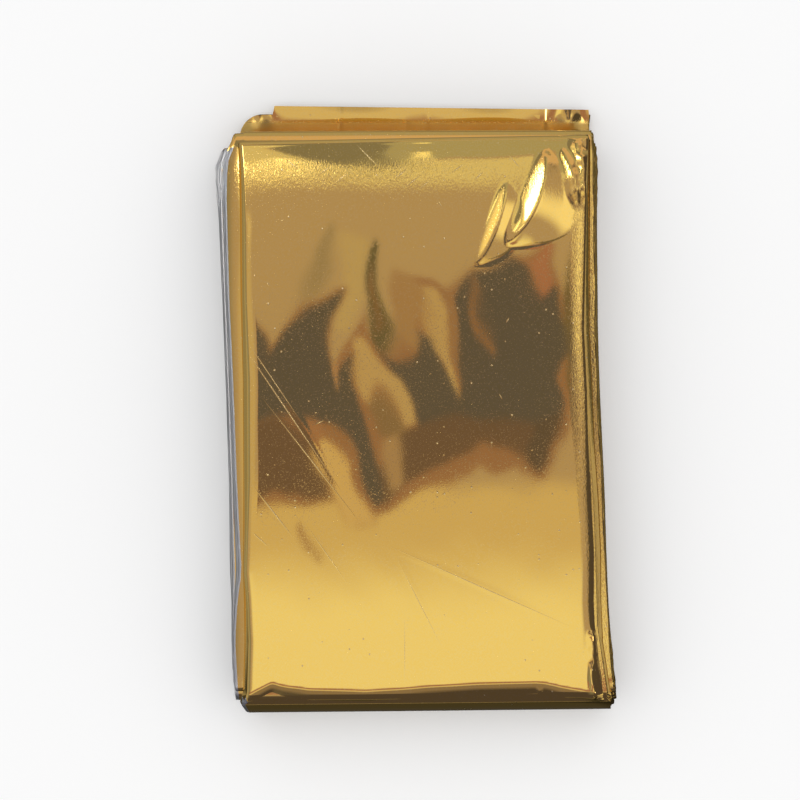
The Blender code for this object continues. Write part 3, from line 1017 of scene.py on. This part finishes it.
def ceiling_lines(fine, middle_to=None):
    """Fine steps, then steps of a middle size, and ever coarser ones beyond."""
    lines = list(np.arange(fine[0], fine[1], FINE_STEP))
    if middle_to is not None:
        lines += list(np.arange(fine[1] + FINE_STEP, middle_to, MIDDLE_STEP))
    step = lines[-1] - lines[-2]
    while lines[-1] < CEILING_REACH:
        step *= COARSER_BY if lines[-1] < FAR_FROM else COARSER_FAR
        lines.append(lines[-1] + step)
    step = FINE_STEP
    while lines[0] > -CEILING_REACH:
        step *= COARSER_BY if lines[0] > -FAR_FROM else COARSER_FAR
        lines.insert(0, lines[0] - step)
    return np.array(lines)


def outline_distance(x, y, outline):
    """How far each place is outside a closed outline, less than 0 inside."""
    nearest = np.full(x.shape, np.inf)
    inside = np.zeros(x.shape, dtype=bool)
    for index in range(len(outline)):
        start, end = outline[index - 1], outline[index]
        run = end - start
        share = ((x - start[0]) * run[0] + (y - start[1]) * run[1]) / (run @ run)
        share = np.clip(share, 0, 1)
        away = np.hypot(x - start[0] - share * run[0], y - start[1] - share * run[1])
        nearest = np.minimum(nearest, away)
        if run[1] != 0:
            crosses = (start[1] > y) != (end[1] > y)
            inside ^= crosses & (x < start[0] + (y - start[1]) / run[1] * run[0])
    return np.where(inside, -nearest, nearest)


def edge_wander(x, y):
    """How the patches' edges wander, in pixels."""
    random = np.random.default_rng(SEED + 1)
    total = [np.zeros_like(x), np.zeros_like(x)]
    for _ in range(WANDER_COUNT):
        length = random.uniform(WANDER_SHORTEST, WANDER_LONGEST)
        heading = random.uniform(0, 2 * math.pi)
        along = x * math.cos(heading) + y * math.sin(heading)
        for axis in (0, 1):
            turn = random.uniform(0, 2 * math.pi)
            total[axis] += WANDER_REACH * np.sin(2 * math.pi * along / length + turn)
    return total


def ceiling_light(lean_x, lean_y):
    """The colour of the ceiling at each place, from its cards and patches."""
    light = np.broadcast_to(np.array(HORIZON), lean_x.shape + (3,)).copy()
    for card in CARDS:
        away = np.hypot((lean_x - card.x) / card.reach_x, (lean_y - card.y) / card.reach_y)
        cover = 1 - smooth((away - 1 + card.soft) / (2 * card.soft))
        light = mixed(light, np.array([card.red, card.green, card.blue]), cover[..., None])
    # Distances are measured in photo pixels, as they are in the middle of the panel
    middle = np.array(reflected(np.array([0.0]), np.array([0.0])))[:, 0]
    aside = np.array(reflected(np.array([1.0]), np.array([1.0])))[:, 0]
    scale = (aside - middle) * PHOTO_PIXEL
    place_x, place_y = lean_x / scale[0], lean_y / scale[1]
    near = (np.abs(lean_x) < PATCHES_WITHIN[0]) & (np.abs(lean_y) < PATCHES_WITHIN[1])
    wander_x, wander_y = edge_wander(place_x, place_y)
    near_x, near_y = place_x[near] + wander_x[near], place_y[near] + wander_y[near]
    for patch in PATCHES:
        outline = np.array(patch.outline, dtype=float)
        x = (outline[:, 0] - PHOTO_MIDDLE[0]) * PHOTO_PIXEL
        y = (PHOTO_MIDDLE[1] - outline[:, 1]) * PHOTO_PIXEL
        corners = np.stack(reflected(x, y), axis=-1) / scale
        distance = outline_distance(near_x, near_y, corners)
        colour = light[near]
        if patch.fringe:
            cover = 1 - smooth((distance - patch.fringe + patch.soft) / (2 * patch.soft))
            colour = mixed(colour, np.array(FRINGE), FRINGE_COVER * cover[..., None])
        cover = 1 - smooth((distance + patch.soft) / (2 * patch.soft))
        light[near] = mixed(colour, np.array(patch.light), cover[..., None])
    return light


def studio_ceiling():
    """The painted ceiling, which only the film's reflections see."""
    across, along = ceiling_lines(FINE_ACROSS), ceiling_lines(FINE_ALONG, MIDDLE_ALONG_TO)
    lean_x, lean_y = np.meshgrid(across, along)
    shape = np.stack([lean_x, lean_y, np.ones_like(lean_x)], axis=-1) * CEILING_HEIGHT / MM
    material = bpy.data.materials.new("ceiling")
    material.use_nodes = True
    material.cycles.emission_sampling = "NONE"
    tree = material.node_tree
    tree.nodes.clear()
    paint = tree.nodes.new("ShaderNodeAttribute")
    paint.attribute_name = "light"
    glow = add_node(tree, "ShaderNodeEmission", Color=paint.outputs["Color"])
    add_node(tree, "ShaderNodeOutputMaterial", Surface=glow.outputs[0])
    ceiling = sheet_object("ceiling", shape, [material])
    light = ceiling_light(lean_x, lean_y)
    colours = np.concatenate([light, np.ones(light.shape[:2] + (1,))], axis=-1)
    attribute = ceiling.data.color_attributes.new("light", "FLOAT_COLOR", "POINT")
    attribute.data.foreach_set("color", colours.astype(np.float32).ravel())
    ceiling.visible_camera = False
    ceiling.visible_diffuse = False
    ceiling.visible_shadow = False


PALE = (0.92, 0.92, 0.92)
DISTANCE = (0.30, 0.29, 0.30)


def studio_world():
    """A pale world, dimmer where the film reflects what lies below the ceiling's edge."""
    world = bpy.data.worlds.new("studio")
    bpy.context.scene.world = world
    world.use_nodes = True
    tree = world.node_tree
    tree.nodes.clear()
    pale = add_node(tree, "ShaderNodeBackground", Color=(*PALE, 1))
    dim = add_node(tree, "ShaderNodeBackground", Color=(*DISTANCE, 1))
    choose = tree.nodes.new("ShaderNodeMixShader")
    tree.links.new(tree.nodes.new("ShaderNodeLightPath").outputs["Is Glossy Ray"], choose.inputs["Fac"])
    tree.links.new(pale.outputs[0], choose.inputs[1])
    tree.links.new(dim.outputs[0], choose.inputs[2])
    add_node(tree, "ShaderNodeOutputWorld", Surface=choose.outputs[0])


FLOOR_HALF = 2.0
FLOOR_GLOW = 0.12
# In the film's reflections the floor is a glow of painted light, with painted shade beyond the foot and to
# the right
FLOOR_IN_MIRRORS = 0.28
FLOOR_SHADE_BEYOND_FOOT = 0.055
FLOOR_SHADE_TO_THE_RIGHT = 0.35


def pale_floor():
    """A pale floor that glows a little for the camera, and in the film's reflections is only a glow, with
    painted shade beyond the foot and to the right.
    """
    mesh = bpy.data.meshes.new("floor")
    corners = [(x * FLOOR_HALF, y * FLOOR_HALF, 0) for x, y in ((-1, -1), (1, -1), (1, 1), (-1, 1))]
    mesh.from_pydata(corners, [], [(0, 1, 2, 3)])
    floor = bpy.data.objects.new("floor", mesh)
    bpy.context.scene.collection.objects.link(floor)
    material = bpy.data.materials.new("pale floor")
    material.use_nodes = True
    tree = material.node_tree
    nodes, links = tree.nodes, tree.links
    shader = nodes["Principled BSDF"]
    shader.inputs["Base Color"].default_value = (0.92, 0.92, 0.92, 1)
    shader.inputs["Roughness"].default_value = 0.9
    shader.inputs["Specular IOR Level"].default_value = 0.0
    shader.inputs["Emission Color"].default_value = (1, 1, 1, 1)
    shader.inputs["Emission Strength"].default_value = FLOOR_GLOW
    place = nodes.new("ShaderNodeTexCoord").outputs["Object"]
    split = add_node(tree, "ShaderNodeSeparateXYZ", Vector=place)
    # Painted shade: the glow that the film reflects is dimmer beyond the foot and to the right of the pack
    foot = add_node(tree, "ShaderNodeMapRange", Value=split.outputs["Y"], From_Min=-0.066,
                    From_Max=-0.055, To_Min=FLOOR_SHADE_BEYOND_FOOT, To_Max=FLOOR_IN_MIRRORS)
    right = add_node(tree, "ShaderNodeMapRange", Value=split.outputs["X"], From_Min=0.040,
                     From_Max=0.046, To_Min=1.0, To_Max=FLOOR_SHADE_TO_THE_RIGHT)
    light = combined(tree, "MULTIPLY", foot.outputs["Result"], right.outputs["Result"])
    dark = add_node(tree, "ShaderNodeEmission", Color=(1, 1, 1, 1), Strength=light)
    choose = nodes.new("ShaderNodeMixShader")
    links.new(nodes.new("ShaderNodeLightPath").outputs["Is Glossy Ray"], choose.inputs["Fac"])
    links.new(shader.outputs[0], choose.inputs[1])
    links.new(dark.outputs[0], choose.inputs[2])
    links.new(choose.outputs[0], nodes["Material Output"].inputs["Surface"])
    mesh.materials.append(material)


def overhead_camera(size):
    """A camera straight above, whose frame fits the pack as the photo's does."""
    data = bpy.data.cameras.new("camera")
    camera = bpy.data.objects.new("camera", data)
    bpy.context.scene.collection.objects.link(camera)
    bpy.context.scene.camera = camera
    camera.location = (FRAME_CENTRE[0] * MM, FRAME_CENTRE[1] * MM, CAMERA_HEIGHT * MM)
    data.sensor_width = 36.0
    data.lens = data.sensor_width * (CAMERA_HEIGHT - size.z / 2 / MM) / FRAME_WIDTH


def main():
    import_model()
    cad_low, cad_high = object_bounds()
    gold = film_material("gold film", GOLD, 0.02)
    silver = film_material("silver film", SILVER, 0.34)
    sheets = (
        (cover_sheet([gold], SHIFT), (0.081, 0.27)),
        (wrap_plies([gold, silver], SHIFT), (24 * 0.078, 0.27)),
        (flap_sheet([gold], SHIFT), (0.078, 0.27)),
        (inner_layers([gold, silver], SHIFT), (26 * 0.078, 1.18)),
    )
    for sheet, flat in sheets:
        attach(sheet, "root")
        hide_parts("foil_blanket")
    pale_floor()
    studio_ceiling()
    studio_world()
    overhead_camera(cad_high - cad_low)
    bpy.context.scene.view_settings.view_transform = "Standard"


main()
